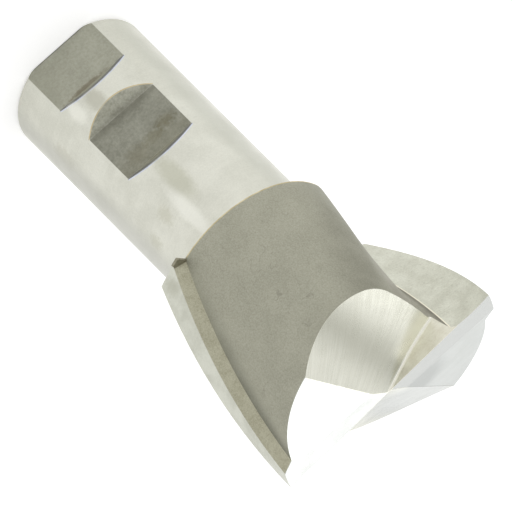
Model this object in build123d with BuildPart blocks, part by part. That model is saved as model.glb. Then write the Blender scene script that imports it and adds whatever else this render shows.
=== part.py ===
"""Two-flute square end mill with a side-lock shank, in millimetres.

The tool is one piece of high-speed steel. It stands on its shank end: the origin is the
centre of that end, Z runs up the axis to the cutting end, and the two locking flats face -Y.
It cuts turning counterclockwise seen from above, so each tooth's body lies clockwise of its edge.
"""

from build123d import *
from math import cos, degrees, radians, sin, tan
import os

# Shank
shank_radius = 15.875
shank_length = 64.0
shank_end_radius = 1.5
shank_seam_angle = -22.5

# Locking flats, with sloping end walls
flat_depth = 2.62
flat_wall_slope = 45.0
flat_root_radius = 0.8
end_flat_length = 11.95
land_between_flats = 10.1
second_flat_length = 13.3

# Lathe centre hole in the shank end
centre_pilot_radius = 1.6
centre_pilot_depth = 9.0
centre_seat_radius = 4.0
centre_seat_angle = 60.0

# Cutting head
flute_count = 2
cutting_radius = 27.8
head_length = 42.7
helix_angle = 29.4
end_corner_angle = 5.3

# Section of one tooth, with angles measured clockwise from its cutting edge
land_end_angle = 10.9
land_relief_drop = 0.55
bevel_end_angle = 15.0
heel_angle = 118.0
heel_radius = 12.0
flute_radius = 45.0
root_clearance = 0.1
root_angle = 173.0
rake_foot_lead = 0.3
rake_hollow = 0.6

# Heights in that section, as shares of the way from the root circle up to the cutting circle
back_start_height = 0.751
back_middle_height = 0.60
heel_height = 0.325
rake_foot_height = 0.137

# Uncut rim that ends each tooth's bevel at the shoulder
rim_thickness = 0.6
rim_start_angle = 11.0
rim_end_angle = 15.0

# Cutting end
dish_angle = 0.5
primary_angle = 2.0
primary_width_inner = 3.5
primary_width_outer = 5.5
secondary_angle = 10.4

# Gash that opens each end tooth to the centre, hollow as the grinding wheel leaves it
gash_rake = 6.1
gash_slope = 25.0
gash_wheel_radius = 95.9
gash_wall_fall = 7.2
gash_wall_skew = 16.8
gash_drop = 0.15
gash_root_radius = 0.6

# Values that follow from those above
overall_length = shank_length + head_length
flat_distance = shank_radius - flat_depth
head_twist = degrees(tan(radians(helix_angle)) * head_length / cutting_radius)
lead = head_length * 360.0 / head_twist
shoulder_corner_angle = end_corner_angle - head_twist
root_radius = shank_radius + root_clearance
tooth_pitch = 360.0 / flute_count
centre_height = overall_length - cutting_radius * tan(radians(dish_angle))
reach = 2.0 * cutting_radius


def at(radius, clockwise):
    """Point of the section at a radius and an angle clockwise from the cutting edge."""
    return Vector(radius * cos(radians(clockwise)), -radius * sin(radians(clockwise)))


def up_tooth(height, clockwise):
    """Point of the section at a share of the tooth's height and an angle clockwise from the edge."""
    return at(root_radius + height * (cutting_radius - root_radius), clockwise)


# Key points of one tooth's section, with its cutting edge on +X
cutting_edge = at(cutting_radius, 0.0)
land_end = at(cutting_radius - land_relief_drop, land_end_angle)
back_start = up_tooth(back_start_height, bevel_end_angle)
back_middle = up_tooth(back_middle_height, (bevel_end_angle + heel_angle) / 2)
heel = up_tooth(heel_height, heel_angle)
root = at(root_radius, root_angle)
next_edge = at(cutting_radius, tooth_pitch)
rake_foot = up_tooth(rake_foot_height, tooth_pitch) - Vector(0, rake_foot_lead)
rake_middle = (rake_foot + next_edge) / 2 + Vector(0, rake_hollow)

# Turn of each tooth from the first, and directions of the end edges
tooth_pitches = [tooth_pitch * tooth for tooth in range(flute_count)]
end_angles = [end_corner_angle + pitch for pitch in tooth_pitches]
up = Vector(0, 0, 1)


def wedge(slope):
    """Sketch lines of a cutter above a plane that falls away from the sketch's origin."""
    Polyline((0, 0), (reach, -reach * tan(radians(slope))), (reach, reach), (0, reach), close=True)


# Space that a gash takes ahead of an end edge on +X: an upright wall under the edge, and a
# hollow wall that falls away ahead of it
wall_down = Vector(0, -sin(radians(gash_rake)), -cos(radians(gash_rake)))
wall_across = Vector(1, 0, 0).cross(wall_down)
gash_centre = Vector(0, 0, centre_height) + wall_down * gash_drop
wheel_centre = Vector(gash_wheel_radius, 0).rotate(Axis.Z, 90 - gash_slope)
sweep_way = wall_across + wall_down * tan(radians(gash_wall_fall)) - Vector(tan(radians(gash_wall_skew)), 0)
with BuildPart() as gash:
    with BuildSketch(Plane(gash_centre, x_dir=(1, 0, 0), z_dir=-wall_across)):
        with BuildLine():
            hollow = CenterArc(wheel_centre, gash_wheel_radius, -90 - 2 * gash_slope, 2 * gash_slope)
            Polyline(hollow @ 1, ((hollow @ 1).X, (hollow @ 0).Y), hollow @ 0)
        make_face()
    extrude(amount=reach, dir=sweep_way)
    fillet(gash.edges().sort_by_distance(gash_centre)[0], gash_root_radius)

with BuildPart() as end_mill:
    # Shank with a rounded end, the seam of its round face turned clear of the flats
    Cylinder(
        shank_radius,
        shank_length,
        rotation=(0, 0, shank_seam_angle),
        align=(Align.CENTER, Align.CENTER, Align.MIN),
    )
    fillet(end_mill.edges().group_by(Axis.Z)[0], shank_end_radius)

    # Locking flats: one runs out of the shank end, the other lies above a land
    end_flat_low = -end_flat_length
    second_flat_low = end_flat_length + land_between_flats
    groove_top = 2.0 * shank_radius
    wall_run = (groove_top - flat_distance) / tan(radians(flat_wall_slope))
    for low, high in (
        (end_flat_low, end_flat_length),
        (second_flat_low, second_flat_low + second_flat_length),
    ):
        with BuildSketch(Plane.YZ) as groove:
            with BuildLine():
                Polyline(
                    (-flat_distance, low),
                    (-flat_distance, high),
                    (-groove_top, high + wall_run),
                    (-groove_top, low - wall_run),
                    close=True,
                )
            make_face()
            fillet(groove.vertices().group_by(Axis.X)[-1], flat_root_radius)
        extrude(amount=shank_radius, both=True, mode=Mode.SUBTRACT)

    # Lathe centre hole
    with Locations(Plane.XY.rotated((180, 0, 0))):
        CounterSinkHole(centre_pilot_radius, centre_seat_radius, centre_pilot_depth, centre_seat_angle)

    # Fluted head, its section swept up the axis and turned by the helix
    with BuildSketch(Plane.XY.offset(shank_length)) as section:
        with BuildLine(mode=Mode.PRIVATE) as tooth:
            RadiusArc(cutting_edge, land_end, cutting_radius)
            Line(land_end, back_start)
            ThreePointArc(back_start, back_middle, heel)
            RadiusArc(heel, root, flute_radius)
            Line(root, rake_foot)
            ThreePointArc(rake_foot, rake_middle, next_edge)
        with BuildLine():
            with PolarLocations(0, flute_count, shoulder_corner_angle):
                add(tooth.line)
        make_face()
        heels = [
            section.vertices().sort_by_distance(heel.rotate(Axis.Z, shoulder_corner_angle + pitch))[0]
            for pitch in tooth_pitches
        ]
        fillet(heels, heel_radius)
    axis_line = Line((0, 0, shank_length), (0, 0, overall_length), mode=Mode.PRIVATE)
    turn = Helix(lead, head_length, cutting_radius, center=(0, 0, shank_length), mode=Mode.PRIVATE)
    sweep(path=axis_line, binormal=turn)

    # Thin rim at the shoulder, where the cutter that made the bevel stopped
    rim_root = up_tooth(heel_height, bevel_end_angle)
    rim_low = at(cutting_radius, rim_start_angle)
    rim_high = at(cutting_radius, rim_end_angle)
    with BuildSketch(Plane.XY.offset(shank_length)):
        with BuildLine(mode=Mode.PRIVATE) as rim:
            RadiusArc(rim_low, rim_high, cutting_radius)
            Polyline(rim_high, back_start, rim_root, land_end, rim_low)
        with BuildSketch(mode=Mode.PRIVATE) as rim_face:
            with BuildLine():
                add(rim.line)
            make_face()
        with PolarLocations(0, flute_count, shoulder_corner_angle):
            add(rim_face.sketch)
    extrude(amount=rim_thickness)

    # End teeth: a primary and a secondary clearance behind each end edge
    for angle in end_angles:
        outward = Vector(1, 0, 0).rotate(Axis.Z, angle)
        behind = Vector(0, -1, 0).rotate(Axis.Z, angle)
        centre = Vector(0, 0, centre_height)
        corner = Vector(0, 0, overall_length) + outward * cutting_radius
        primary_fall = tan(radians(primary_angle))
        inner = centre + (behind - up * primary_fall) * primary_width_inner
        outer = corner + (behind - up * primary_fall) * primary_width_outer
        for start, end, slope in ((centre, corner, primary_angle), (inner, outer, secondary_angle)):
            hinge = (end - start).normalized()
            with BuildSketch(Plane(start, x_dir=hinge.cross(up), z_dir=-hinge)):
                with BuildLine():
                    wedge(slope)
                make_face()
            extrude(amount=reach, both=True, mode=Mode.SUBTRACT)

    # Gashes, one ahead of each end edge
    with PolarLocations(0, flute_count, end_corner_angle):
        add(gash.part, mode=Mode.SUBTRACT)

end_mill.part.label = "end_mill"
os.makedirs("parts", exist_ok=True)
export_step(end_mill.part, "parts/end_mill.step")
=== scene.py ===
"""Looks of a two-flute square end mill: finishes for its steel, with some painted highlights,
reflections and shade, a floor, lamps and the camera.
"""

import logging
import math
from dataclasses import dataclass
from enum import Enum
from functools import reduce
from typing import Union

import bpy
from mathutils import Matrix, Vector

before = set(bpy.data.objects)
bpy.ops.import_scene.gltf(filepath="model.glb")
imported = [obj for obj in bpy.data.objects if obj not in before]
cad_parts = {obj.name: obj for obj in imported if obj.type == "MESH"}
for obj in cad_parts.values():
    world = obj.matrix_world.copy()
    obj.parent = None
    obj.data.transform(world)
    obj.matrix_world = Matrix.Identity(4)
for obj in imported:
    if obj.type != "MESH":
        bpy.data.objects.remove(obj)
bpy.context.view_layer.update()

log = logging.getLogger("end_mill")
Number = Union[int, float, "Field"]
Triple = tuple[float, float, float]

# Millimetres in a metre, and turns in degrees
MILLIMETRES = 1000.0
QUARTER_TURN = 90.0
HALF_TURN = 180.0
TWO_TURNS = 720.0

# Widths in millimetres over which a mask turns at its edge
CRISP = 0.02
SHARP = 0.04
CLEAN = 0.05
SOFT = 0.1

# The value that noises and shades lie round
MEAN = 0.5


def tint(red: int, green: int, blue: int) -> Triple:
    """Turn a colour written in 0 to 255 display steps into the linear numbers that shaders use.

    Args:
        red: Display step of red.
        green: Display step of green.
        blue: Display step of blue.

    Returns:
        The same colour in linear light.
    """

    def linear(step: int) -> float:
        """Return one display step as linear light, by the usual curve with its straight foot."""
        share = step / 255.0
        return share / 12.92 if share <= 0.04045 else ((share + 0.055) / 1.055) ** 2.4

    return linear(red), linear(green), linear(blue)


# ---------------------------------------------------------------- node arithmetic


class Field:
    """A number that changes over the surface, held by one output socket of a node tree."""

    def __init__(self, tree: bpy.types.NodeTree, socket: bpy.types.NodeSocket) -> None:
        """Keep the tree and the socket that carries the number."""
        self.tree = tree
        self.socket = socket

    def maths(self, operation: str, *others: Number) -> "Field":
        """Add a Math node that takes this number first.

        Args:
            operation: Name of the node's operation.
            others: Its other inputs, as numbers or fields.

        Returns:
            The node's result.
        """
        node = self.tree.nodes.new("ShaderNodeMath")
        node.operation = operation
        self.tree.links.new(self.socket, node.inputs[0])
        for place, other in enumerate(others, start=1):
            feed(self.tree, other, node.inputs[place])
        return Field(self.tree, node.outputs[0])

    def __add__(self, other: Number) -> "Field":
        """Return the sum."""
        return self.maths("ADD", other)

    def __sub__(self, other: Number) -> "Field":
        """Return the difference."""
        return self.maths("SUBTRACT", other)

    def __mul__(self, other: Number) -> "Field":
        """Return the product."""
        return self.maths("MULTIPLY", other)

    def flipped(self) -> "Field":
        """Return one minus the number, which turns a mask inside out."""
        return self.maths("MULTIPLY_ADD", -1.0, 1.0)

    def size(self) -> "Field":
        """Return the number without its sign."""
        return self.maths("ABSOLUTE")

    def above(self, edge: float, soft: float) -> "Field":
        """Mask of where the number is above an edge.

        Args:
            edge: The value at which the mask is a half.
            soft: The width over which it turns from 0 to 1.

        Returns:
            The mask.
        """
        node = self.tree.nodes.new("ShaderNodeMapRange")
        node.interpolation_type = "SMOOTHSTEP"
        self.tree.links.new(self.socket, node.inputs["Value"])
        node.inputs["From Min"].default_value = edge - soft / 2
        node.inputs["From Max"].default_value = edge + soft / 2
        return Field(self.tree, node.outputs["Result"])

    def below(self, edge: float, soft: float) -> "Field":
        """Mask of where the number is below an edge, with the same arguments as above."""
        return self.above(edge, soft).flipped()

    def within(self, low: float, high: float, soft: float) -> "Field":
        """Mask of where the number lies between two edges.

        Args:
            low: The lower edge.
            high: The upper edge.
            soft: The width over which the mask turns at each edge.

        Returns:
            The mask.
        """
        return self.above(low, soft) * self.below(high, soft)


def feed(tree: bpy.types.NodeTree, value: object, socket: bpy.types.NodeSocket) -> None:
    """Give an input socket its value: a link from a field or a socket, or a plain number or triple.

    Args:
        tree: The tree that holds the socket.
        value: What the socket takes.
        socket: The input.
    """
    if isinstance(value, Field):
        tree.links.new(value.socket, socket)
    elif isinstance(value, bpy.types.NodeSocket):
        tree.links.new(value, socket)
    elif socket.type == "RGBA":
        socket.default_value = (*value, 1.0)
    else:
        socket.default_value = value


class Board:
    """A node tree being filled, with short ways to add the nodes that the finishes need."""

    def __init__(self, tree: bpy.types.NodeTree) -> None:
        """Keep the tree."""
        self.tree = tree

    def field(self, socket: bpy.types.NodeSocket) -> Field:
        """Return a socket's number as a field."""
        return Field(self.tree, socket)

    def vector(self, operation: str, first: object, second: object = None) -> bpy.types.NodeSocket:
        """Add a Vector Math node.

        Args:
            operation: Name of the node's operation.
            first: Its first vector.
            second: Its second vector, if it takes one.

        Returns:
            The socket of the resulting vector.
        """
        node = self.tree.nodes.new("ShaderNodeVectorMath")
        node.operation = operation
        feed(self.tree, first, node.inputs[0])
        if second is not None:
            feed(self.tree, second, node.inputs[1])
        return node.outputs["Vector"]

    def along(self, vector: object, direction: Triple) -> Field:
        """Return how far a vector reaches along a direction."""
        node = self.tree.nodes.new("ShaderNodeVectorMath")
        node.operation = "DOT_PRODUCT"
        feed(self.tree, vector, node.inputs[0])
        feed(self.tree, direction, node.inputs[1])
        return Field(self.tree, node.outputs["Value"])

    def length(self, vector: object) -> Field:
        """Return the length of a vector."""
        node = self.tree.nodes.new("ShaderNodeVectorMath")
        node.operation = "LENGTH"
        feed(self.tree, vector, node.inputs[0])
        return Field(self.tree, node.outputs["Value"])

    def split(self, vector: object) -> tuple[Field, Field, Field]:
        """Return the three parts of a vector."""
        node = self.tree.nodes.new("ShaderNodeSeparateXYZ")
        feed(self.tree, vector, node.inputs[0])
        return tuple(Field(self.tree, socket) for socket in node.outputs)

    def joined(self, x: Number, y: Number, z: Number) -> bpy.types.NodeSocket:
        """Return a vector made of three numbers."""
        node = self.tree.nodes.new("ShaderNodeCombineXYZ")
        for socket, value in zip(node.inputs, (x, y, z)):
            feed(self.tree, value, socket)
        return node.outputs[0]

    def noise(self, vector: object, scale: Number, detail: float, rough: float) -> Field:
        """Add a noise texture.

        Args:
            vector: Where it is read.
            scale: How many of its features fit in one unit.
            detail: How many finer layers it has.
            rough: How strong each finer layer is.

        Returns:
            The noise, from 0 to 1 and mostly near a half.
        """
        node = self.tree.nodes.new("ShaderNodeTexNoise")
        feed(self.tree, vector, node.inputs["Vector"])
        feed(self.tree, scale, node.inputs["Scale"])
        node.inputs["Detail"].default_value = detail
        node.inputs["Roughness"].default_value = rough
        return Field(self.tree, node.outputs["Fac"])

    def blend(self, mask: Number, under: object, over: object) -> bpy.types.NodeSocket:
        """Lay one colour over another.

        Args:
            mask: Where the upper colour shows.
            under: The lower colour.
            over: The upper colour.

        Returns:
            The socket of the mixed colour.
        """
        node = self.tree.nodes.new("ShaderNodeMix")
        node.data_type = "RGBA"
        feed(self.tree, mask, node.inputs[0])
        feed(self.tree, under, node.inputs[6])
        feed(self.tree, over, node.inputs[7])
        return node.outputs[2]

    def weigh(self, mask: Number, under: Number, over: Number) -> Field:
        """Mix two numbers by a mask, with the same arguments as blend."""
        node = self.tree.nodes.new("ShaderNodeMix")
        node.data_type = "FLOAT"
        feed(self.tree, mask, node.inputs[0])
        feed(self.tree, under, node.inputs[2])
        feed(self.tree, over, node.inputs[3])
        return Field(self.tree, node.outputs[0])

    def place(self, group: bpy.types.NodeTree, **values: object) -> dict[str, bpy.types.NodeSocket]:
        """Place a node group and give its inputs their values.

        Args:
            group: The group.
            values: The inputs, named with _ for a space.

        Returns:
            The group's outputs by name.
        """
        node = self.tree.nodes.new("ShaderNodeGroup")
        node.node_tree = group
        for name, value in values.items():
            feed(self.tree, value, node.inputs[name.replace("_", " ")])
        return {socket.name: socket for socket in node.outputs}


class GroupMaker:
    """Builds one shared shader node group with named inputs and outputs."""

    def __init__(self, name: str, inputs: dict[str, str], outputs: dict[str, str]) -> None:
        """Make the empty group.

        Args:
            name: The group's name.
            inputs: Kind of each input, by name.
            outputs: Kind of each output, by name.
        """
        self.group = bpy.data.node_groups.new(name, "ShaderNodeTree")
        for way, sockets in (("INPUT", inputs), ("OUTPUT", outputs)):
            for label, kind in sockets.items():
                self.group.interface.new_socket(label, in_out=way, socket_type=f"NodeSocket{kind}")
        self.board = Board(self.group)
        entry = self.group.nodes.new("NodeGroupInput")
        self.entry = {socket.name: socket for socket in entry.outputs}
        self.exit = self.group.nodes.new("NodeGroupOutput")

    def take(self, name: str) -> Field:
        """Return an input as a number."""
        return Field(self.group, self.entry[name])

    def give(self, name: str, value: object) -> None:
        """Set an output."""
        feed(self.group, value, self.exit.inputs[name])


# ---------------------------------------------------------------- the tool's form


@dataclass(frozen=True)
class ToolForm:
    """Sizes of the tool that the finishes follow, in millimetres and degrees."""

    shank_radius: float = 15.875
    shank_length: float = 64.0
    shank_end_radius: float = 1.5
    flat_distance: float = 13.255
    end_flat_high: float = 11.95
    second_flat_low: float = 22.05
    second_flat_high: float = 35.35
    cutting_radius: float = 27.8
    overall_length: float = 106.7
    helix_angle: float = 29.4
    end_edge_angle: float = 5.3
    land_end_angle: float = 10.9
    bevel_end_angle: float = 15.0
    rim_thickness: float = 0.6
    rake_foot_radius: float = 17.6
    rake_foot_lead: float = 0.3
    rake_hollow: float = 0.6
    dish_angle: float = 0.5
    primary_angle: float = 2.0
    primary_width_inner: float = 3.5
    primary_width_outer: float = 5.5
    secondary_angle: float = 10.4
    gash_rake: float = 6.1
    gash_slope: float = 25.0
    gash_wheel_radius: float = 95.9
    gash_wall_fall: float = 7.2
    gash_wall_skew: float = 16.8
    gash_drop: float = 0.15

    @property
    def twist(self) -> float:
        """Degrees that the teeth turn for each millimetre of height."""
        return math.degrees(math.tan(math.radians(self.helix_angle)) / self.cutting_radius)

    @property
    def centre_height(self) -> float:
        """Height at which the end edges would meet the axis."""
        return self.overall_length - self.cutting_radius * math.tan(math.radians(self.dish_angle))


@dataclass(frozen=True)
class Borders:
    """Where one finish gives way to the next, in millimetres, and in degrees behind a cutting edge.

    A reach is how far off a surface a point may lie and still count as on it. A fade is the width
    over which a finish gives way.
    """

    shank_reach: float = 0.06
    head_overlap: float = 0.03
    # Width of the thin lines: the painted highlights, and the line where the end flat meets the
    # shank end.
    edge_line_width: float = 0.24
    # How far the painted shade along the top of a high wall reaches in and out, and its fade.
    dark_line_inside: float = 1.0
    dark_line_outside: float = 0.14
    dark_line_fade: float = 0.5
    tooth_radius: float = 24.6
    # Where the painted shade at the foot of the back lies.
    back_foot_angle: float = 21.0
    back_foot_fade: float = 12.0
    back_foot_height: float = 80.0
    back_foot_rise: float = 40.0
    heel_start: float = 98.0
    heel_stop: float = 134.0
    heel_fade: float = 30.0
    flute_start: float = 128.0
    flute_fade: float = 16.0
    flute_foot_start: float = 176.8
    flute_foot_fade: float = 4.0
    # Where the painted shade on the rim at the shoulder ends, and its fade.
    rim_overlap: float = 1.0
    rim_fade: float = 0.5
    rake_reach: float = 0.2
    rake_foot_fade: float = 0.01
    end_height: float = 90.0
    end_fade: float = 1.0
    facet_reach: float = 0.12
    wall_reach: float = 0.07
    wall_fade: float = 0.03
    # Where the painted highlight at the gash root lies.
    root_across: tuple[float, float] = (0.06, 0.26)
    root_along: tuple[float, float] = (-0.2, 0.6)
    root_fade: float = 0.2
    wall_line_fan: float = 0.024
    # Where the painted dark reflection crosses the falling gash wall.
    band_place: float = 4.6
    band_skew: float = 0.125
    band_reach: float = 3.6
    # Where the painted highlight lies on the foot of the falling gash wall.
    bright_across: float = 3.2
    bright_across_fade: float = 4.0
    bright_along: float = 6.5
    bright_along_fade: float = 3.0


class Zone(Enum):
    """Surfaces of the tool that have finishes of their own, among them painted highlights and
    painted shade, in the order in which they are laid.
    """

    SHANK = "shank"
    SHANK_END = "shank end"
    END_FLAT = "flat at the shank end"
    END_LINE = "line where that flat meets the shank end"
    SECOND_FLAT = "second flat"
    LOW_WALL = "low wall of the second flat"
    # Painted light: finished lighter than the flats, to make up for the shade that falls on it.
    HIGH_WALL_PAINTED_LIGHT = "high wall of a flat"
    # Painted shade: a dark line along the top of each high wall and just above the flats' upper
    # borders.
    PAINTED_SHADE_EDGE = "dark line along the top of a high wall"
    # Painted highlight: a thin pale bluish line above each high wall.
    HIGHLIGHT_ABOVE_HIGH_WALL = "line above a high wall"
    # Painted highlight: a thin gold line along the edge below the low wall.
    HIGHLIGHT_BELOW_LOW_WALL = "line below the low wall"
    BACK = "back"
    # Painted shade: the back darker next to the bevel, towards the cutting end.
    BACK_FOOT_SHADE = "foot of the back, next to the bevel"
    HEEL = "round heel of the back"
    # Painted highlight: a thin gold line along the shoulder's edge.
    SHOULDER_HIGHLIGHT = "line round the shoulder"
    FLUTE = "flute"
    FLUTE_FOOT = "shaded foot of the flute, next to the rake"
    BEVEL = "bevel"
    LAND = "land"
    # Painted shade on the thin rim at the shoulder.
    RIM_SHADE = "rim at the shoulder"
    RAKE = "rake"
    # Painted highlight: a thin cream line along the rake's foot.
    RAKE_FOOT_HIGHLIGHT = "line along the rake's foot"
    SECONDARY = "secondary clearance"
    PRIMARY = "primary clearance"
    FALL_WALL = "falling gash wall"
    # Painted reflection: a dark band across the falling gash wall.
    FALL_WALL_DARK_REFLECTION = "painted dark reflection across the falling gash wall"
    # Painted highlight: a brighter foot of the falling gash wall.
    FALL_FOOT_HIGHLIGHT = "foot of the falling gash wall"
    UPRIGHT_WALL = "upright gash wall"
    # Painted highlight: a bright line along the gash root.
    GASH_ROOT_HIGHLIGHT = "gash root"


@dataclass(frozen=True)
class Finish:
    """How one surface of the steel looks, with lengths in millimetres."""

    light: Triple
    dark: Triple
    cloud_size: float
    cloud_amount: float
    grain_size: float
    grain_amount: float
    speck_amount: float
    line_amount: float
    gloss: float
    relief: float


@dataclass(frozen=True)
class StainOrPaintedLight:
    """A soft mark on the steel, in millimetres, on all surfaces or only on the zones named. Some
    are real stains; the others are painted shade, painted highlights and painted reflections.
    """

    centre: Triple
    reach: Triple
    colour: Triple
    strength: float
    ragged: float = 0.6
    zones: tuple[Zone, ...] = ()


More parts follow.
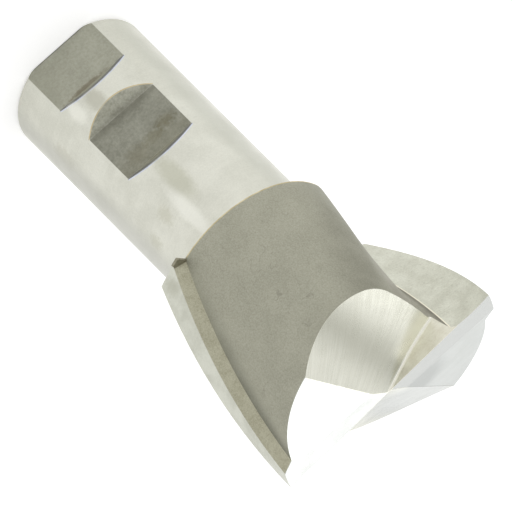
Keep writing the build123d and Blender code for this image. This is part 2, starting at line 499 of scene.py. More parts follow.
FINISHES: dict[Zone, Finish] = {
    Zone.SHANK: Finish(
        light=tint(223, 223, 212), dark=tint(204, 204, 192), gloss=0.36, relief=0.1,
        cloud_size=7.0, cloud_amount=0.45, grain_size=0.35, grain_amount=0.35,
        speck_amount=0.12, line_amount=0.15,
    ),
    Zone.SHANK_END: Finish(
        light=tint(205, 204, 194), dark=tint(180, 179, 168), gloss=0.5, relief=0.2,
        cloud_size=6.0, cloud_amount=0.4, grain_size=0.5, grain_amount=0.2,
        speck_amount=0.1, line_amount=0.3,
    ),
    Zone.END_FLAT: Finish(
        light=tint(177, 177, 162), dark=tint(163, 163, 148), gloss=0.55, relief=0.4,
        cloud_size=4.0, cloud_amount=0.4, grain_size=0.5, grain_amount=0.6,
        speck_amount=0.1, line_amount=0.1,
    ),
    Zone.END_LINE: Finish(
        light=tint(132, 133, 126), dark=tint(116, 117, 110), gloss=0.5, relief=0.0,
        cloud_size=3.0, cloud_amount=0.3, grain_size=0.4, grain_amount=0.2,
        speck_amount=0.0, line_amount=0.0,
    ),
    Zone.SECOND_FLAT: Finish(
        light=tint(157, 157, 144), dark=tint(138, 138, 125), gloss=0.55, relief=0.4,
        cloud_size=2.5, cloud_amount=0.5, grain_size=0.5, grain_amount=0.6,
        speck_amount=0.2, line_amount=0.1,
    ),
    Zone.LOW_WALL: Finish(
        light=tint(190, 190, 176), dark=tint(166, 166, 151), gloss=0.55, relief=0.4,
        cloud_size=2.0, cloud_amount=0.6, grain_size=0.5, grain_amount=0.6,
        speck_amount=0.2, line_amount=0.1,
    ),
    # Painted light: lighter than the flats' finish, to make up for the shade on the high walls.
    Zone.HIGH_WALL_PAINTED_LIGHT: Finish(
        light=tint(192, 191, 174), dark=tint(172, 170, 152), gloss=0.55, relief=0.4,
        cloud_size=2.0, cloud_amount=0.5, grain_size=0.4, grain_amount=0.3,
        speck_amount=0.3, line_amount=0.1,
    ),
    # Painted shade along the top of the high walls.
    Zone.PAINTED_SHADE_EDGE: Finish(
        light=tint(152, 153, 152), dark=tint(134, 135, 134), gloss=0.55, relief=0.3,
        cloud_size=2.0, cloud_amount=0.5, grain_size=0.4, grain_amount=0.3,
        speck_amount=0.2, line_amount=0.0,
    ),
    # Painted highlight above the high walls.
    Zone.HIGHLIGHT_ABOVE_HIGH_WALL: Finish(
        light=tint(214, 219, 233), dark=tint(196, 202, 216), gloss=0.3, relief=0.0,
        cloud_size=2.0, cloud_amount=0.8, grain_size=0.4, grain_amount=0.2,
        speck_amount=0.0, line_amount=0.0,
    ),
    # Painted highlight along the edge below the low wall.
    Zone.HIGHLIGHT_BELOW_LOW_WALL: Finish(
        light=tint(206, 190, 148), dark=tint(186, 168, 126), gloss=0.4, relief=0.0,
        cloud_size=2.0, cloud_amount=0.6, grain_size=0.4, grain_amount=0.3,
        speck_amount=0.0, line_amount=0.0,
    ),
    Zone.BACK: Finish(
        light=tint(182, 181, 165), dark=tint(164, 163, 147), gloss=0.62, relief=0.8,
        cloud_size=7.0, cloud_amount=0.25, grain_size=0.3, grain_amount=0.7,
        speck_amount=0.3, line_amount=0.0,
    ),
    # Painted shade at the foot of the back, next to the bevel.
    Zone.BACK_FOOT_SHADE: Finish(
        light=tint(160, 160, 147), dark=tint(142, 142, 129), gloss=0.62, relief=0.8,
        cloud_size=5.0, cloud_amount=0.4, grain_size=0.28, grain_amount=0.6,
        speck_amount=0.3, line_amount=0.0,
    ),
    Zone.HEEL: Finish(
        light=tint(164, 163, 148), dark=tint(148, 147, 132), gloss=0.66, relief=0.6,
        cloud_size=6.0, cloud_amount=0.4, grain_size=0.3, grain_amount=0.6,
        speck_amount=0.3, line_amount=0.0,
    ),
    # Painted highlight along the shoulder's edge.
    Zone.SHOULDER_HIGHLIGHT: Finish(
        light=tint(214, 202, 164), dark=tint(190, 176, 136), gloss=0.45, relief=0.2,
        cloud_size=2.0, cloud_amount=0.9, grain_size=0.4, grain_amount=0.4,
        speck_amount=0.2, line_amount=0.0,
    ),
    Zone.FLUTE: Finish(
        light=tint(172, 170, 156), dark=tint(152, 149, 135), gloss=0.6, relief=0.6,
        cloud_size=5.0, cloud_amount=0.5, grain_size=0.3, grain_amount=0.5,
        speck_amount=0.3, line_amount=0.0,
    ),
    Zone.FLUTE_FOOT: Finish(
        light=tint(142, 140, 127), dark=tint(124, 121, 108), gloss=0.6, relief=0.6,
        cloud_size=4.0, cloud_amount=0.5, grain_size=0.3, grain_amount=0.5,
        speck_amount=0.3, line_amount=0.0,
    ),
    Zone.BEVEL: Finish(
        light=tint(197, 195, 173), dark=tint(175, 172, 149), gloss=0.55, relief=0.5,
        cloud_size=2.5, cloud_amount=0.35, grain_size=0.26, grain_amount=0.8,
        speck_amount=0.6, line_amount=0.0,
    ),
    Zone.LAND: Finish(
        light=tint(211, 212, 200), dark=tint(192, 193, 180), gloss=0.4, relief=0.15,
        cloud_size=5.0, cloud_amount=0.6, grain_size=0.4, grain_amount=0.3,
        speck_amount=0.15, line_amount=0.2,
    ),
    # Painted shade on the thin rim at the shoulder.
    Zone.RIM_SHADE: Finish(
        light=tint(166, 162, 142), dark=tint(140, 136, 116), gloss=0.6, relief=0.4,
        cloud_size=2.0, cloud_amount=0.5, grain_size=0.26, grain_amount=0.6,
        speck_amount=0.4, line_amount=0.0,
    ),
    Zone.RAKE: Finish(
        light=tint(221, 222, 208), dark=tint(200, 200, 185), gloss=0.5, relief=0.3,
        cloud_size=4.0, cloud_amount=0.5, grain_size=0.35, grain_amount=0.5,
        speck_amount=0.45, line_amount=0.1,
    ),
    # Painted highlight along the rake's foot.
    Zone.RAKE_FOOT_HIGHLIGHT: Finish(
        light=tint(246, 242, 224), dark=tint(232, 226, 204), gloss=0.4, relief=0.0,
        cloud_size=3.0, cloud_amount=0.4, grain_size=0.4, grain_amount=0.2,
        speck_amount=0.0, line_amount=0.0,
    ),
    Zone.SECONDARY: Finish(
        light=tint(246, 249, 246), dark=tint(228, 231, 227), gloss=0.24, relief=0.1,
        cloud_size=6.0, cloud_amount=0.4, grain_size=0.5, grain_amount=0.1,
        speck_amount=0.0, line_amount=0.2,
    ),
    Zone.PRIMARY: Finish(
        light=tint(229, 231, 228), dark=tint(211, 213, 210), gloss=0.22, relief=0.1,
        cloud_size=5.0, cloud_amount=0.4, grain_size=0.5, grain_amount=0.1,
        speck_amount=0.0, line_amount=0.2,
    ),
    Zone.FALL_WALL: Finish(
        light=tint(246, 246, 233), dark=tint(224, 224, 210), gloss=0.24, relief=0.15,
        cloud_size=5.0, cloud_amount=0.3, grain_size=0.4, grain_amount=0.1,
        speck_amount=0.0, line_amount=0.7,
    ),
    # Painted dark reflection across the falling gash wall.
    Zone.FALL_WALL_DARK_REFLECTION: Finish(
        light=tint(208, 208, 194), dark=tint(192, 192, 178), gloss=0.24, relief=0.15,
        cloud_size=5.0, cloud_amount=0.3, grain_size=0.4, grain_amount=0.1,
        speck_amount=0.0, line_amount=0.6,
    ),
    # Painted highlight on the foot of the falling gash wall.
    Zone.FALL_FOOT_HIGHLIGHT: Finish(
        light=tint(255, 255, 240), dark=tint(252, 251, 234), gloss=0.26, relief=0.1,
        cloud_size=3.0, cloud_amount=0.5, grain_size=0.4, grain_amount=0.1,
        speck_amount=0.0, line_amount=0.4,
    ),
    Zone.UPRIGHT_WALL: Finish(
        light=tint(240, 239, 225), dark=tint(218, 214, 196), gloss=0.4, relief=0.2,
        cloud_size=3.0, cloud_amount=0.5, grain_size=0.4, grain_amount=0.3,
        speck_amount=0.2, line_amount=0.3,
    ),
    # Painted highlight along the gash root.
    Zone.GASH_ROOT_HIGHLIGHT: Finish(
        light=tint(255, 253, 242), dark=tint(250, 247, 233), gloss=0.3, relief=0.0,
        cloud_size=3.0, cloud_amount=0.3, grain_size=0.4, grain_amount=0.1,
        speck_amount=0.0, line_amount=0.0,
    ),
}


# ---------------------------------------------------------------- shared effects


@dataclass
class Effects:
    """The shared node groups: places on the tool, and what the finishes are made of.

    A scale is how many features of a noise fit in a millimetre. A grinding line's scale has one
    number along the line and one across it.
    """

    form: ToolForm
    borders: Borders
    fine_line_scale: Triple = (0.12, 5.0, 1.0)
    broad_line_scale: Triple = (0.06, 1.1, 1.0)
    fine_line_share: float = 0.6
    cloud_fade: float = 0.36
    grain_fade: float = 0.44
    speck_spread: float = 0.55
    speck_edge: float = 0.68
    speck_fade: float = 0.12
    line_fade: float = 0.3
    gloss_swing: float = 0.12
    hairline_scale: float = 0.22
    hairline_reach: float = 0.004
    hairline_fade: float = 0.008
    patch_scale: float = 0.13
    patch_shift: Triple = (31.0, 7.0, 53.0)
    patch_edge: float = 0.56
    patch_fade: float = 0.1
    mark_scale: float = 1.3
    mark_edge: float = 0.7
    mark_fade: float = 0.7

    def __post_init__(self) -> None:
        """Build the groups."""
        self.tooth_place = self._tooth_place()
        self.end_place = self._end_place()
        self.lines = self._lines()
        self.finish = self._finish()
        self.hairlines = self._hairlines()
        self.stain_or_light = self._stain_or_light()

    def _tooth_place(self) -> bpy.types.NodeTree:
        """Build the group that says where a point lies round the axis and behind a cutting edge."""
        form = self.form
        made = GroupMaker(
            "place on a tooth",
            {"Position": "Vector"},
            {"Radius": "Float", "Turn": "Float", "Behind": "Float", "Rake": "Float"},
        )
        x, y, z = made.board.split(made.entry["Position"])
        turn = y.maths("ARCTAN2", x) * math.degrees(1.0)
        edge = (z - form.overall_length) * form.twist + form.end_edge_angle
        behind = (edge - turn + TWO_TURNS).maths("MODULO", HALF_TURN)
        radius = (x * x + y * y).maths("SQRT")
        nearest = behind.maths("WRAP", QUARTER_TURN, -QUARTER_TURN)
        offset = (nearest * math.radians(1.0)).maths("SINE") * radius
        depth = form.cutting_radius - form.rake_foot_radius
        up_rake = (radius - form.rake_foot_radius) * (1.0 / depth)
        bow = (up_rake * up_rake.flipped()) * (4.0 * form.rake_hollow)
        rake = bow - up_rake.flipped() * form.rake_foot_lead
        made.give("Radius", radius)
        made.give("Turn", turn)
        made.give("Behind", behind)
        on_rake = (offset - rake).size().below(self.borders.rake_reach, SHARP)
        made.give("Rake", on_rake * up_rake.above(0.0, self.borders.rake_foot_fade))
        return made.group

    def _end_place(self) -> bpy.types.NodeTree:
        """Build the group that finds the end facets and the gash walls of one tooth.

        Its Position is in the tooth's own frame: X outward along the end edge, Y ahead of it.
        """
        form, borders = self.form, self.borders
        names = ("Primary", "Secondary", "Fall Wall", "Upright Wall", "Root", "Across", "Along")
        outputs = {name: "Float" for name in names}
        made = GroupMaker("end of a tooth", {"Position": "Vector"}, outputs)
        board = made.board
        place = board.vector("SUBTRACT", made.entry["Position"], (0.0, 0.0, form.centre_height))
        out, ahead, rise = board.split(place)
        behind = ahead * -1.0
        dish = math.tan(math.radians(form.dish_angle))
        first_fall = math.tan(math.radians(form.primary_angle))
        second_fall = math.tan(math.radians(form.secondary_angle))
        widening = (form.primary_width_outer - form.primary_width_inner) / form.cutting_radius
        width = out * widening + form.primary_width_inner
        past = (behind - width).maths("MAXIMUM", 0.0)
        before = behind.maths("MINIMUM", width)
        surface = out * dish - before * first_fall - past * second_fall
        on_facets = (rise - surface).size().below(borders.facet_reach, SHARP)
        on_facets = on_facets * behind.above(0.0, SHARP)
        on_first = (behind - width).below(0.0, CLEAN)
        made.give("Primary", on_facets * on_first)
        made.give("Secondary", on_facets * on_first.flipped())

        rake, slope = math.radians(form.gash_rake), math.radians(form.gash_slope)
        down = Vector((0.0, -math.sin(rake), -math.cos(rake)))
        across = Vector((1.0, 0.0, 0.0)).cross(down)
        in_gash = board.vector("SUBTRACT", place, tuple(down * form.gash_drop))
        u = board.along(in_gash, tuple(across))
        foot = u * math.tan(math.radians(form.gash_wall_skew)) + out
        sunk = board.along(in_gash, tuple(down))
        rise_in_wall = u * math.tan(math.radians(form.gash_wall_fall)) - sunk
        wheel = form.gash_wheel_radius
        side = foot - wheel * math.sin(slope)
        under = rise_in_wall - wheel * math.cos(slope)
        v = (side * side + under * under).maths("SQRT") * -1.0 + wheel
        reach, fade = borders.wall_reach, borders.wall_fade
        made.give("Fall Wall", v.size().below(reach, fade) * u.above(0.0, SOFT))
        made.give("Upright Wall", u.size().below(reach, fade) * v.above(0.0, SOFT))
        # The root's mask carries a painted highlight.
        on_root = u.within(*borders.root_across, SOFT)
        made.give("Root", on_root * v.within(*borders.root_along, borders.root_fade))
        made.give("Across", u)
        made.give("Along", foot)
        return made.group

    def _lines(self) -> bpy.types.NodeTree:
        """Build the group that draws fine grinding lines.

        Its Place runs along the lines in X and across them in Y, in millimetres.
        """
        made = GroupMaker("grinding lines", {"Place": "Vector"}, {"Shade": "Float"})
        board = made.board
        fine_place = board.vector("MULTIPLY", made.entry["Place"], self.fine_line_scale)
        broad_place = board.vector("MULTIPLY", made.entry["Place"], self.broad_line_scale)
        fine = board.noise(fine_place, 1.0, detail=3.0, rough=0.6)
        broad = board.noise(broad_place, 1.0, detail=2.0, rough=0.5)
        made.give("Shade", fine * self.fine_line_share + broad * (1.0 - self.fine_line_share))
        return made.group

    def _finish(self) -> bpy.types.NodeTree:
        """Build the group that turns a finish's values into a colour, a roughness and a height."""
        made = GroupMaker(
            "steel finish",
            {
                "Position": "Vector",
                "Lines Place": "Vector",
                "Light": "Color",
                "Dark": "Color",
                "Cloud Size": "Float",
                "Cloud Amount": "Float",
                "Grain Size": "Float",
                "Grain Amount": "Float",
                "Speck Amount": "Float",
                "Line Amount": "Float",
                "Gloss": "Float",
                "Relief": "Float",
            },
            {"Color": "Color", "Roughness": "Float", "Height": "Float"},
        )
        board = made.board
        place = made.entry["Position"]
        cloud_scale = made.take("Cloud Size").maths("POWER", -1.0)
        grain_scale = made.take("Grain Size").maths("POWER", -1.0)
        speck_scale = grain_scale * self.speck_spread
        clouds = board.noise(place, cloud_scale, detail=3.0, rough=0.55)
        clouds = clouds.above(MEAN, self.cloud_fade)
        grain = board.noise(place, grain_scale, detail=2.0, rough=0.7)
        grain = grain.above(MEAN, self.grain_fade)
        specks = board.noise(place, speck_scale, detail=1.0, rough=0.5)
        specks = specks.above(self.speck_edge, self.speck_fade)
        lines = board.place(self.lines, Place=made.entry["Lines Place"])["Shade"]
        lines = board.field(lines).above(MEAN, self.line_fade)
        parts = (
            (clouds - MEAN) * made.take("Cloud Amount")
            + (grain - MEAN) * made.take("Grain Amount")
            + (lines - MEAN) * made.take("Line Amount")
            + specks * made.take("Speck Amount")
        )
        shade = (parts + MEAN).maths("MAXIMUM", 0.0).maths("MINIMUM", 1.0)
        made.give("Color", board.blend(shade, made.entry["Light"], made.entry["Dark"]))
        made.give("Roughness", (shade - MEAN) * self.gloss_swing + made.take("Gloss"))
        made.give("Height", (parts * made.take("Relief")) * -1.0)
        return made.group

    def _hairlines(self) -> bpy.types.NodeTree:
        """Build the group that draws a few thin wandering lines, as a fine surface shows."""
        made = GroupMaker("hairlines", {"Position": "Vector"}, {"Mask": "Float"})
        board = made.board
        place = made.entry["Position"]
        bend = board.noise(place, self.hairline_scale, detail=1.0, rough=0.5)
        patch_place = board.vector("ADD", place, self.patch_shift)
        patch = board.noise(patch_place, self.patch_scale, detail=1.0, rough=0.5)
        line = (bend - MEAN).size().below(self.hairline_reach, self.hairline_fade)
        made.give("Mask", line * patch.above(self.patch_edge, self.patch_fade))
        return made.group

    def _stain_or_light(self) -> bpy.types.NodeTree:
        """Build the group that masks one soft mark with a ragged border; the marks are real stains
        and painted shade, highlights and reflections.
        """
        made = GroupMaker(
            "soft mark or painted light",
            {"Position": "Vector", "Centre": "Vector", "Reach": "Vector", "Ragged": "Float"},
            {"Mask": "Float"},
        )
        board = made.board
        away = board.vector("SUBTRACT", made.entry["Position"], made.entry["Centre"])
        share = board.length(board.vector("DIVIDE", away, made.entry["Reach"]))
        ragged = board.noise(made.entry["Position"], self.mark_scale, detail=4.0, rough=0.7)
        share = share + (ragged - MEAN) * made.take("Ragged")
        made.give("Mask", share.below(self.mark_edge, self.mark_fade))
        return made.group


# ---------------------------------------------------------------- the tool's steel


@dataclass(frozen=True)
class Spot:
    """Where a point of the surface lies on the tool, as numbers that change over the surface."""

    position: bpy.types.NodeSocket
    x: Field
    y: Field
    z: Field
    radius: Field
    turn: Field
    behind: Field
    rake: Field


END_OUTPUTS: dict[Zone, str] = {
    Zone.PRIMARY: "Primary",
    Zone.SECONDARY: "Secondary",
    Zone.FALL_WALL: "Fall Wall",
    Zone.UPRIGHT_WALL: "Upright Wall",
    Zone.GASH_ROOT_HIGHLIGHT: "Root",
}


@dataclass
class EndMill:
    """The tool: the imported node, dressed in one steel that has a finish for each surface."""

    form: ToolForm
    node: bpy.types.Object
    stains_and_painted_light: tuple[StainOrPaintedLight, ...] = ()
    borders: Borders = Borders()
    metallic: float = 0.75
    refraction: float = 1.45
    bump_strength: float = 0.35
    bump_distance: float = 0.0001
    hairline_strength: float = 0.3
    hairline_colour: Triple = tint(120, 118, 104)

    def dress(self) -> bpy.types.Object:
        """Give the node its steel.

        Returns:
            The dressed node.
        """
        steel = self._steel(Effects(self.form, self.borders))
        for slot in self.node.material_slots:
            slot.material = steel
        if not self.node.material_slots:
            self.node.data.materials.append(steel)
        return self.node

    def _steel(self, effects: Effects) -> bpy.types.Material:
        """Build the material.

        Args:
            effects: The shared node groups.

        Returns:
            The material.
        """
        material = bpy.data.materials.new("tool_steel")
        material.use_nodes = True
        tree = material.node_tree
        board = Board(tree)
        shader = next(node for node in tree.nodes if node.type == "BSDF_PRINCIPLED")
        shader.inputs["Metallic"].default_value = self.metallic
        shader.inputs["IOR"].default_value = self.refraction

        coordinates = tree.nodes.new("ShaderNodeTexCoord")
        position = board.vector("MULTIPLY", coordinates.outputs["Object"], (MILLIMETRES,) * 3)
        masks, places = self._zones(board, effects, position)
        colour: object = FINISHES[Zone.SHANK].light
        roughness: Number = FINISHES[Zone.SHANK].gloss
        height: Number = 0.0
        for zone in Zone:
            lines_place = places.get(zone, places[Zone.SHANK])
            laid = self._lay(board, effects, position, lines_place, FINISHES[zone])
            mask = masks[zone]
            upper = laid["Color"]
            if zone is Zone.BACK:
                hairline = board.field(board.place(effects.hairlines, Position=position)["Mask"])
                upper = board.blend(hairline * self.hairline_strength, upper, self.hairline_colour)
            colour = board.blend(mask, colour, upper)
            roughness = board.weigh(mask, roughness, board.field(laid["Roughness"]))
            height = board.weigh(mask, height, board.field(laid["Height"]))
        # Lay the soft marks: real stains, and painted shade, highlights and reflections.
        for stain_or_light in self.stains_and_painted_light:
            mark = board.place(
                effects.stain_or_light,
                Position=position,
                Centre=stain_or_light.centre,
                Reach=stain_or_light.reach,
                Ragged=stain_or_light.ragged,
            )
            mask = board.field(mark["Mask"]) * stain_or_light.strength
            if stain_or_light.zones:
                on_zones = reduce(Field.__add__, (masks[zone] for zone in stain_or_light.zones))
                mask = mask * on_zones.maths("MINIMUM", 1.0)
            colour = board.blend(mask, colour, stain_or_light.colour)
        feed(tree, colour, shader.inputs["Base Color"])
        feed(tree, roughness, shader.inputs["Roughness"])
        bump = tree.nodes.new("ShaderNodeBump")
        bump.inputs["Strength"].default_value = self.bump_strength
        bump.inputs["Distance"].default_value = self.bump_distance
        feed(tree, height, bump.inputs["Height"])
        tree.links.new(bump.outputs["Normal"], shader.inputs["Normal"])
        return material

    def _lay(
        self,
        board: Board,
        effects: Effects,
        position: bpy.types.NodeSocket,
        lines_place: bpy.types.NodeSocket,
        finish: Finish,
    ) -> dict[str, bpy.types.NodeSocket]:
        """Place the finish group with one finish's values.

        Args:
            board: The material's tree.
            effects: The shared node groups.
            position: The point on the tool, in millimetres.
            lines_place: The point along and across the finish's lines.
            finish: The values.

        Returns:
            The group's outputs.
        """
        return board.place(
            effects.finish,
            Position=position,
            Lines_Place=lines_place,
            Light=finish.light,
            Dark=finish.dark,
            Cloud_Size=finish.cloud_size,
            Cloud_Amount=finish.cloud_amount,
            Grain_Size=finish.grain_size,
            Grain_Amount=finish.grain_amount,
            Speck_Amount=finish.speck_amount,
            Line_Amount=finish.line_amount,
            Gloss=finish.gloss,
            Relief=finish.relief,
        )

    def _zones(
        self, board: Board, effects: Effects, position: bpy.types.NodeSocket
    ) -> tuple[dict[Zone, Field], dict[Zone, bpy.types.NodeSocket]]:
        """Find the surfaces.

        Args:
            board: The material's tree.
            effects: The shared node groups.
            position: The point on the tool, in millimetres.

        Returns:
            The mask of each surface, and where its lines run.
        """
        form = self.form
        spot = self._spot(board, effects, position)
        head = spot.z.above(form.shank_length - self.borders.head_overlap, CRISP)
        end_masks, fall_place = self._end_masks(board, effects, spot)
        masks = {
            **self._shank_masks(spot, head.flipped()),
            **self._head_masks(spot, head),
            **end_masks,
        }
        round_shank = spot.turn * (form.shank_radius * math.radians(1.0))
        along_flat = board.joined(spot.x, spot.z, 0.0)
        places = {
            Zone.SHANK: board.joined(round_shank, spot.z, 0.0),
            Zone.SHANK_END: board.joined(spot.x, spot.y, 0.0),
            Zone.END_FLAT: along_flat,
            Zone.SECOND_FLAT: along_flat,
            Zone.FALL_WALL: fall_place,
            Zone.FALL_WALL_DARK_REFLECTION: fall_place,
            Zone.FALL_FOOT_HIGHLIGHT: fall_place,
        }
        return masks, places

    def _spot(self, board: Board, effects: Effects, position: bpy.types.NodeSocket) -> Spot:
        """Find where a point lies on the tool.

        Args:
            board: The material's tree.
            effects: The shared node groups.
            position: The point on the tool, in millimetres.

        Returns:
            Its place.
        """
        x, y, z = board.split(position)
        place = board.place(effects.tooth_place, Position=position)
        names = ("Radius", "Turn", "Behind", "Rake")
        return Spot(position, x, y, z, *(board.field(place[name]) for name in names))

    def _shank_masks(self, spot: Spot, shank: Field) -> dict[Zone, Field]:
        """Find the surfaces of the shank.

        Args:
            spot: Where the point lies on the tool.
            shank: Mask of the shank.

        Returns:
            The mask of each surface.
        """
        form, borders = self.form, self.borders
        z, radius = spot.z, spot.radius
        line, dark_line = borders.edge_line_width, borders.dark_line_outside
        past_flat = spot.y * -1.0 - form.flat_distance
        below_edge, above_edge = z - past_flat, z + past_flat
        skin = form.shank_radius - borders.shank_reach
        inside = radius.below(skin, SHARP) * shank
        on_flat = past_flat.size().below(borders.shank_reach, SHARP) * inside
        on_wall = past_flat.above(borders.shank_reach, SHARP) * inside
        on_wall = on_wall * z.above(form.shank_end_radius, SOFT)
        on_round = past_flat.above(0.0, CRISP) * radius.above(skin, SHARP) * shank
        between = (form.end_flat_high + form.second_flat_low) / 2
        middle = (form.second_flat_low + form.second_flat_high) / 2
        on_high_wall = on_wall * (z.below(between, SOFT) + z.above(middle, SOFT))
        dark_from = form.shank_radius - borders.dark_line_inside
        wall_top = radius.above(dark_from, borders.dark_line_fade)

        def above_flats(low: float, high: float) -> Field:
            """Mask of a line on the round face, between two distances above each flat's border."""
            first, second = (
                below_edge.within(edge + low, edge + high, CLEAN)
                for edge in (form.end_flat_high, form.second_flat_high)
            )
            return on_round * (first + second)

        return {
            Zone.SHANK: shank,
            Zone.SHANK_END: z.below(CLEAN, CLEAN) * shank,
            Zone.END_FLAT: on_flat * z.below(between, SOFT),
            Zone.END_LINE: on_flat * z.below(line, SOFT),
            Zone.SECOND_FLAT: on_flat * z.above(between, SOFT),
            Zone.LOW_WALL: on_wall * z.below(middle, SOFT) * z.above(between, SOFT),
            # Painted light: the high walls get a lighter finish against their shade.
            Zone.HIGH_WALL_PAINTED_LIGHT: on_high_wall,
            # Painted shade along the top of the high walls and just above the flats' upper borders.
            Zone.PAINTED_SHADE_EDGE: on_high_wall * wall_top + above_flats(-SOFT, dark_line),
            # Painted highlight above the high walls.
            Zone.HIGHLIGHT_ABOVE_HIGH_WALL: above_flats(dark_line, dark_line + line),
            # Painted highlight along the edge below the low wall.
            Zone.HIGHLIGHT_BELOW_LOW_WALL: on_round
            * above_edge.within(form.second_flat_low - line, form.second_flat_low, CLEAN),
        }

    def _head_masks(self, spot: Spot, head: Field) -> dict[Zone, Field]:
        """Find the surfaces of the fluted head, without its end.

        Args:
            spot: Where the point lies on the tool.
            head: Mask of the head.

        Returns:
            The mask of each surface.
        """
        form, borders = self.form, self.borders
        z, radius, behind = spot.z, spot.radius, spot.behind
        line = borders.edge_line_width
        in_flute = radius.below(form.rake_foot_radius, SOFT)
        on_tooth = head * radius.above(borders.tooth_radius, SOFT)
        on_rake = head * spot.rake
        rim_end = form.bevel_end_angle + borders.rim_overlap
        rim_top = form.shank_length + form.rim_thickness + CLEAN
        return {
            Zone.BACK: head,
            # Painted shade at the foot of the back, next to the bevel.
            Zone.BACK_FOOT_SHADE: head
            * behind.below(borders.back_foot_angle, borders.back_foot_fade)
            * z.above(borders.back_foot_height, borders.back_foot_rise),
            Zone.HEEL: head
            * behind.within(borders.heel_start, borders.heel_stop, borders.heel_fade)
            * in_flute.flipped(),
            # Painted highlight along the shoulder's edge.
            Zone.SHOULDER_HIGHLIGHT: head * z.below(form.shank_length + line, SOFT),
            Zone.FLUTE: head * behind.above(borders.flute_start, borders.flute_fade) * in_flute,
            Zone.FLUTE_FOOT: head
            * behind.above(borders.flute_foot_start, borders.flute_foot_fade)
            * in_flute,
            Zone.BEVEL: on_tooth * behind.within(form.land_end_angle, form.bevel_end_angle, SOFT),
            Zone.LAND: on_tooth * behind.below(form.land_end_angle, SOFT),
            # Painted shade on the thin rim at the shoulder.
            Zone.RIM_SHADE: head
            * behind.within(form.land_end_angle, rim_end, borders.rim_fade)
            * z.below(rim_top, SHARP),
            Zone.RAKE: on_rake,
            # Painted highlight along the rake's foot.
            Zone.RAKE_FOOT_HIGHLIGHT: on_rake * radius.below(form.rake_foot_radius + line, SOFT),
        }

    def _end_masks(
        self, board: Board, effects: Effects, spot: Spot
    ) -> tuple[dict[Zone, Field], bpy.types.NodeSocket]:
        """Find the end facets and the gash walls.

        Args:
            board: The material's tree.
            effects: The shared node groups.
            spot: Where the point lies on the tool.

        Returns:
            The mask of each surface, and where the lines of the falling gash walls run.
        """
        borders = self.borders
        first, second = (self._end(board, effects, spot, turn) for turn in (0.0, HALF_TURN))
        near_end = spot.z.above(borders.end_height, borders.end_fade)
        masks = {
            zone: board.field(first[name]).maths("MAXIMUM", board.field(second[name])) * near_end
            for zone, name in END_OUTPUTS.items()
        }
        on_first = board.field(first["Fall Wall"])
        across, along = (
            board.weigh(on_first, board.field(second[name]), board.field(first[name]))
            for name in ("Across", "Along")
        )
        on_wall = masks[Zone.FALL_WALL]
        # Painted dark reflection: a band across the falling gash walls.
        from_band = (along - across * borders.band_skew - borders.band_place).size()
        band = from_band.below(borders.band_reach, 2 * borders.band_reach)
        masks[Zone.FALL_WALL_DARK_REFLECTION] = on_wall * band
        # Painted highlight on the foot of the falling gash walls.
        masks[Zone.FALL_FOOT_HIGHLIGHT] = (
            on_wall
            * across.below(borders.bright_across, borders.bright_across_fade)
            * along.above(borders.bright_along, borders.bright_along_fade)
        )
        fanned = across * (along * -borders.wall_line_fan + 1.0)
        return masks, board.joined(along, fanned, 0.0)

    def _end(
        self, board: Board, effects: Effects, spot: Spot, turn: float
    ) -> dict[str, bpy.types.NodeSocket]:
        """Place the group that finds one tooth's end.

        Args:
            board: The material's tree.
            effects: The shared node groups.
            spot: Where the point lies on the tool.
            turn: Degrees from the first tooth.

        Returns:
            The group's outputs.
        """
        angle = math.radians(self.form.end_edge_angle + turn)
        outward = (math.cos(angle), math.sin(angle), 0.0)
        ahead = (-math.sin(angle), math.cos(angle), 0.0)
        out = board.along(spot.position, outward)
        local = board.joined(out, board.along(spot.position, ahead), spot.z)
        return board.place(effects.end_place, Position=local)


# ---------------------------------------------------------------- surroundings


@dataclass(frozen=True)
class Lamp:
    """One soft panel of light: its way from the tool in degrees, and its sizes in metres."""

    name: str
    azimuth: float
    elevation: float
    distance: float
    width: float
    tall: float
    brightness: float


LAMPS: tuple[Lamp, ...] = (
    Lamp(
        "back_panel",
        azimuth=101.4,
        elevation=50.0,
        distance=1.3,
        width=0.97,
        tall=0.8,
        brightness=1.02,
    ),
    Lamp(
        "side_panel",
        azimuth=190.0,
        elevation=30.0,
        distance=1.4,
        width=0.8,
        tall=0.8,
        brightness=0.9,
    ),
)


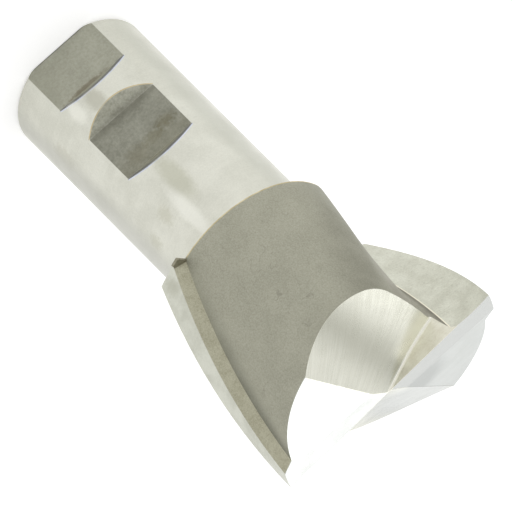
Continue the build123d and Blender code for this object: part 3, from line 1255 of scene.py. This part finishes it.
@dataclass
class Studio:
    """Pale floor, soft lamps and the camera of the photograph's view, in metres.

    The floor lies just below the shank end, so that the two faces don't coincide.
    """

    floor_size: float = 8.0
    floor_height: float = -0.0001
    floor_tone: float = 0.8
    floor_roughness: float = 0.9
    floor_lift: float = 0.44
    world_strength: float = 0.79
    lamp_aim: float = 0.1
    lens: float = 1009.293
    clip_near: float = 0.1
    clip_far: float = 100.0
    camera_place: Triple = (0.2696586, -2.4468183, 1.6200923)
    camera_right: Triple = (-0.7447928, 0.2981951, 0.5969617)
    camera_forward: Triple = (-0.0926584, 0.8397169, -0.5350607)

    def build(self) -> None:
        """Make the floor, the light and the camera."""
        self._floor()
        self._world()
        self._lamps()
        self._camera()

    def _floor(self) -> None:
        """Make the floor under the tool, white to the camera, with the tool's shadow kept."""
        half, height = self.floor_size / 2, self.floor_height
        mesh = bpy.data.meshes.new("floor")
        corners = [
            (-half, -half, height),
            (half, -half, height),
            (half, half, height),
            (-half, half, height),
        ]
        mesh.from_pydata(corners, [], [(0, 1, 2, 3)])
        floor = bpy.data.objects.new("floor", mesh)
        bpy.context.scene.collection.objects.link(floor)
        material = bpy.data.materials.new("pale_floor")
        material.use_nodes = True
        tree = material.node_tree
        shader = next(node for node in tree.nodes if node.type == "BSDF_PRINCIPLED")
        shader.inputs["Base Color"].default_value = (self.floor_tone,) * 3 + (1.0,)
        shader.inputs["Roughness"].default_value = self.floor_roughness
        shader.inputs["Specular IOR Level"].default_value = 0.0
        shader.inputs["Emission Color"].default_value = (1.0, 1.0, 1.0, 1.0)
        path = tree.nodes.new("ShaderNodeLightPath")
        seen = Field(tree, path.outputs["Is Camera Ray"])
        for name in ("Is Glossy Ray", "Is Transmission Ray"):
            seen = seen.maths("MAXIMUM", Field(tree, path.outputs[name]))
        feed(tree, seen * self.floor_lift, shader.inputs["Emission Strength"])
        mesh.materials.append(material)

    def _world(self) -> None:
        """Make an even pale sky."""
        world = bpy.data.worlds.new("soft_sky")
        world.use_nodes = True
        background = next(node for node in world.node_tree.nodes if node.type == "BACKGROUND")
        background.inputs["Color"].default_value = (1.0, 1.0, 1.0, 1.0)
        background.inputs["Strength"].default_value = self.world_strength
        bpy.context.scene.world = world

    def _lamps(self) -> None:
        """Hang the soft lamps."""
        for lamp in LAMPS:
            data = bpy.data.lights.new(lamp.name, "AREA")
            data.shape = "RECTANGLE"
            data.size = lamp.width
            data.size_y = lamp.tall
            data.energy = lamp.brightness * math.pi * lamp.width * lamp.tall
            piece = bpy.data.objects.new(lamp.name, data)
            azimuth, elevation = math.radians(lamp.azimuth), math.radians(lamp.elevation)
            way = Vector(
                (
                    math.cos(azimuth) * math.cos(elevation),
                    math.sin(azimuth) * math.cos(elevation),
                    math.sin(elevation),
                )
            )
            piece.location = Vector((0.0, 0.0, self.lamp_aim)) + way * lamp.distance
            piece.rotation_mode = "QUATERNION"
            piece.rotation_quaternion = (-way).to_track_quat("-Z", "Y")
            bpy.context.scene.collection.objects.link(piece)

    def _camera(self) -> None:
        """Place the camera."""
        data = bpy.data.cameras.new("camera")
        data.lens = self.lens
        data.clip_start = self.clip_near
        data.clip_end = self.clip_far
        camera = bpy.data.objects.new("camera", data)
        forward = Vector(self.camera_forward).normalized()
        right = Vector(self.camera_right)
        right = (right - forward * right.dot(forward)).normalized()
        up = right.cross(forward)
        turned = Matrix((right, up, -forward)).transposed()
        camera.matrix_world = Matrix.Translation(self.camera_place) @ turned.to_4x4()
        bpy.context.scene.collection.objects.link(camera)
        bpy.context.scene.camera = camera


FLAT_ZONES = (Zone.END_FLAT, Zone.SECOND_FLAT, Zone.LOW_WALL, Zone.HIGH_WALL_PAINTED_LIGHT)

# Each mark: its centre, its reach along X, Y and Z, its colour, strength, raggedness and zones.
# Some are real stains on the flats and shank; the others are painted shade, painted highlights and
# painted reflections, each named above its line.
STAINS_AND_PAINTED_LIGHT: tuple[StainOrPaintedLight, ...] = (
    # Painted shade: a soft dark band in the corner where the low wall of the second flat meets the
    # flat.
    StainOrPaintedLight((0.0, -14.0, 22.5), (14.0, 2.4, 1.7), tint(114, 113, 100), 0.5, 0.6, FLAT_ZONES),
    StainOrPaintedLight((0.5, -13.3, 34.4), (16.0, 3.0, 5.0), tint(130, 127, 106), 0.3, 1.3, FLAT_ZONES),
    StainOrPaintedLight((8.5, -13.3, 4.0), (7.0, 3.0, 9.0), tint(152, 152, 136), 0.4, 0.6, FLAT_ZONES),
    StainOrPaintedLight((-5.2, -13.3, 30.5), (3.2, 2.0, 1.9), tint(114, 109, 84), 0.5, 1.8, FLAT_ZONES),
    StainOrPaintedLight((-1.4, -13.3, 31.6), (3.6, 2.0, 1.7), tint(118, 114, 88), 0.35, 1.8, FLAT_ZONES),
    StainOrPaintedLight((3.6, -13.3, 32.4), (3.4, 2.0, 2.6), tint(122, 115, 90), 0.2, 1.8, FLAT_ZONES),
    StainOrPaintedLight((-1.0, -13.3, 27.0), (4.5, 3.0, 3.0), tint(164, 165, 153), 0.1, 1.0, FLAT_ZONES),
    StainOrPaintedLight((1.5, -13.4, 11.7), (6.5, 2.0, 0.8), tint(112, 101, 78), 0.6, 1.6, FLAT_ZONES),
    # Painted dark reflection on the shank between the flats.
    StainOrPaintedLight((2.2, -15.6, 17.2), (2.6, 3.0, 4.4), tint(184, 183, 168), 0.7),
    # Painted bright reflection on the shank between the flats.
    StainOrPaintedLight((6.6, -14.4, 16.0), (2.0, 2.5, 4.6), tint(244, 244, 234), 0.5),
    StainOrPaintedLight((8.5, -13.4, 48.0), (1.9, 2.2, 3.0), tint(180, 178, 157), 0.36, 1.8),
    StainOrPaintedLight((13.3, -8.6, 48.5), (1.9, 2.4, 2.4), tint(182, 181, 161), 0.4, 1.8),
    StainOrPaintedLight((14.2, -7.0, 17.0), (2.0, 4.0, 4.2), tint(182, 179, 161), 0.4, 1.4),
    # Painted dark reflection: a broad band along the shank.
    StainOrPaintedLight((1.8, -15.8, 44.0), (3.0, 3.0, 9.0), tint(184, 184, 165), 0.62, 0.6),
    # Painted bright reflection: a broad band along the shank.
    StainOrPaintedLight((4.8, -15.2, 52.5), (2.2, 3.0, 10.0), tint(242, 242, 233), 0.5, 0.5),
    # Painted shade: a darker band along one side of the shank, its whole length.
    StainOrPaintedLight((-14.5, -9.5, 34.0), (6.0, 5.0, 60.0), tint(190, 191, 179), 0.58, 0.2),
    # Painted shade: a darker band along the other side of the shank, its whole length.
    StainOrPaintedLight((17.0, -4.0, 30.0), (7.0, 7.0, 60.0), tint(186, 186, 177), 0.7, 0.2),
    StainOrPaintedLight((18.6, -20.2, 66.6), (2.4, 2.4, 2.6), tint(180, 180, 164), 0.5, 1.4),
    # Painted shade: a darker patch on the secondary clearance of one tooth.
    StainOrPaintedLight((-6.6, 5.6, 106.0), (8.0, 6.5, 3.0), tint(200, 203, 200), 0.6, 0.4, (Zone.SECONDARY,)),
    # Painted shade: a greyer patch on the falling wall of one gash only, while the like wall of the
    # other gash stays light.
    StainOrPaintedLight(
        (-4.0, 15.0, 102.5), (17.0, 19.0, 12.0), tint(200, 203, 200), 0.9, 0.2, (Zone.FALL_WALL,)
    ),
)


def main() -> None:
    """Dress the tool and build its surroundings."""
    logging.basicConfig(level=logging.INFO)
    bpy.context.scene.view_settings.view_transform = "Standard"
    tool = EndMill(ToolForm(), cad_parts["end_mill"], STAINS_AND_PAINTED_LIGHT)
    piece = tool.dress()
    log.info("dressed %s", piece.name)
    Studio().build()
    log.info("built the studio")


if __name__ == "__main__":
    main()
